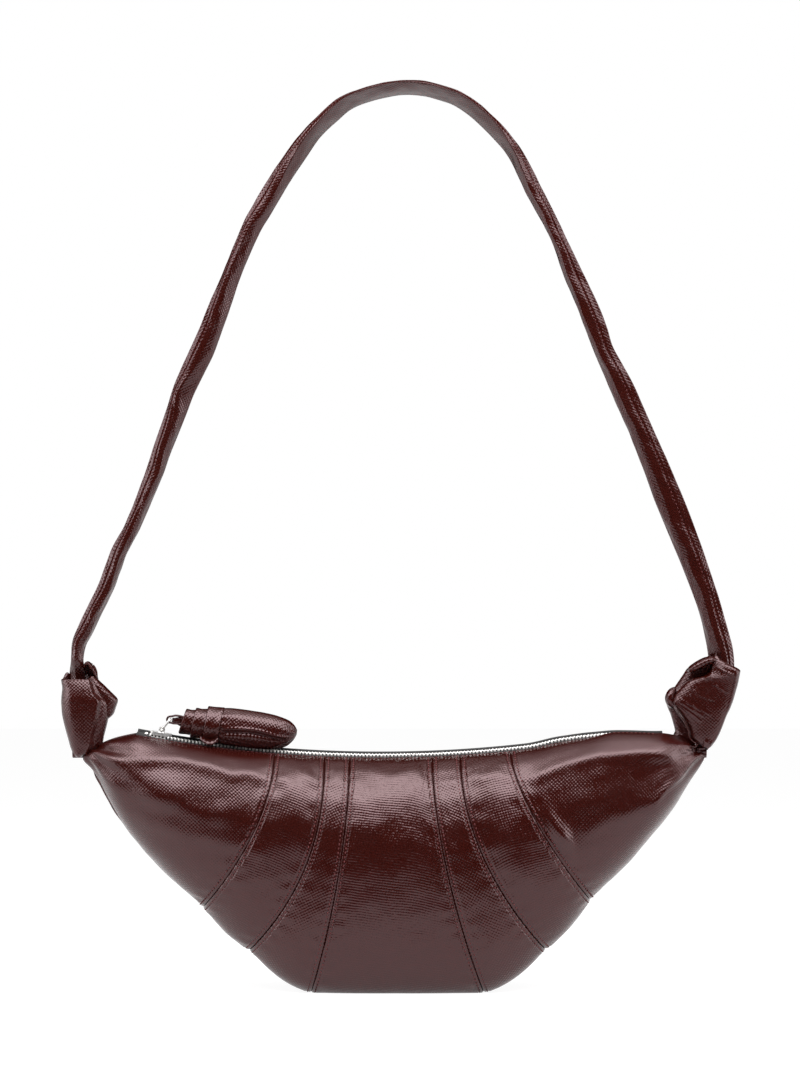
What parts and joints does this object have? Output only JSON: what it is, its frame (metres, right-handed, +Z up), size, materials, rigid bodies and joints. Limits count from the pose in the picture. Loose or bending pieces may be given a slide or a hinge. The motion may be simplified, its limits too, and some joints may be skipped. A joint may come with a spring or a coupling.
{
  "type": "half moon bag",
  "caption": "Half moon shoulder bag of glossy coated canvas with a curved zip, a padded puller and a strap knotted to both ends.",
  "frame": {"origin": "underside of the strap's crown, where a hook or a shoulder carries it, midway between the two knots", "axes": "+Z up, +X along the bag to the right seen from its front, -Y towards the front, where the puller is seen over the zip"},
  "size_m": [0.4238, 0.104, 0.5635],
  "materials": {
    "coated_canvas": "glossy coated woven canvas, dark oxblood brown",
    "lining_cloth": "plain cotton lining",
    "zip_tape": "woven zip tape",
    "zip_metal": "nickel plated teeth",
    "polished_metal": "polished nickel plate",
    "wadding": "soft filling"
  },
  "bodies": {
    "strap": {"strap": "coated_canvas", "knot_left": "coated_canvas", "knot_right": "coated_canvas", "knot_fold_left": "coated_canvas", "knot_fold_right": "coated_canvas"},
    "bag": {"panel_centre": "coated_canvas", "panel_left_inner": "coated_canvas", "panel_left_middle": "coated_canvas", "panel_left_end": "coated_canvas", "panel_right_inner": "coated_canvas", "panel_right_middle": "coated_canvas", "panel_right_end": "coated_canvas", "lining": "lining_cloth", "inner_pocket": "lining_cloth", "zip_tape_front": "zip_tape", "zip_tape_rear": "zip_tape", "zip_teeth_front": "zip_metal", "zip_teeth_rear": "zip_metal", "zip_top_stops": "zip_metal", "zip_bottom_stop": "zip_metal", "end_tie_left": "coated_canvas", "end_tie_right": "coated_canvas"},
    "slider": {"slider": "polished_metal"},
    "ring": {"pull_ring": "polished_metal"},
    "puller": {"puller_loop": "coated_canvas", "puller_collar": "coated_canvas", "puller_pad": "coated_canvas", "puller_filling": "wadding"}
  },
  "joints": [
    {"name": "bag_swing", "type": "hinge", "parent": "strap", "child": "bag", "pos_m": [0, 0, -0.405], "axis": [1, 0, 0], "range_deg": [-90, 90]},
    {"name": "zip_slide", "type": "hinge", "parent": "bag", "child": "slider", "pos_m": [-0.012, 0, 0.39252], "axis": [0, -1, 0], "range_deg": [0, 15.92]},
    {"name": "ring_flip", "type": "hinge", "parent": "slider", "child": "ring", "pos_m": [-0.14767, 0, -0.39451], "axis": [0, -1, 0], "range_deg": [0, 70]},
    {"name": "puller_flip", "type": "hinge", "parent": "ring", "child": "puller", "pos_m": [-0.14255, 0, -0.38836], "axis": [0, -1, 0], "range_deg": [0, 20]}
  ]
}
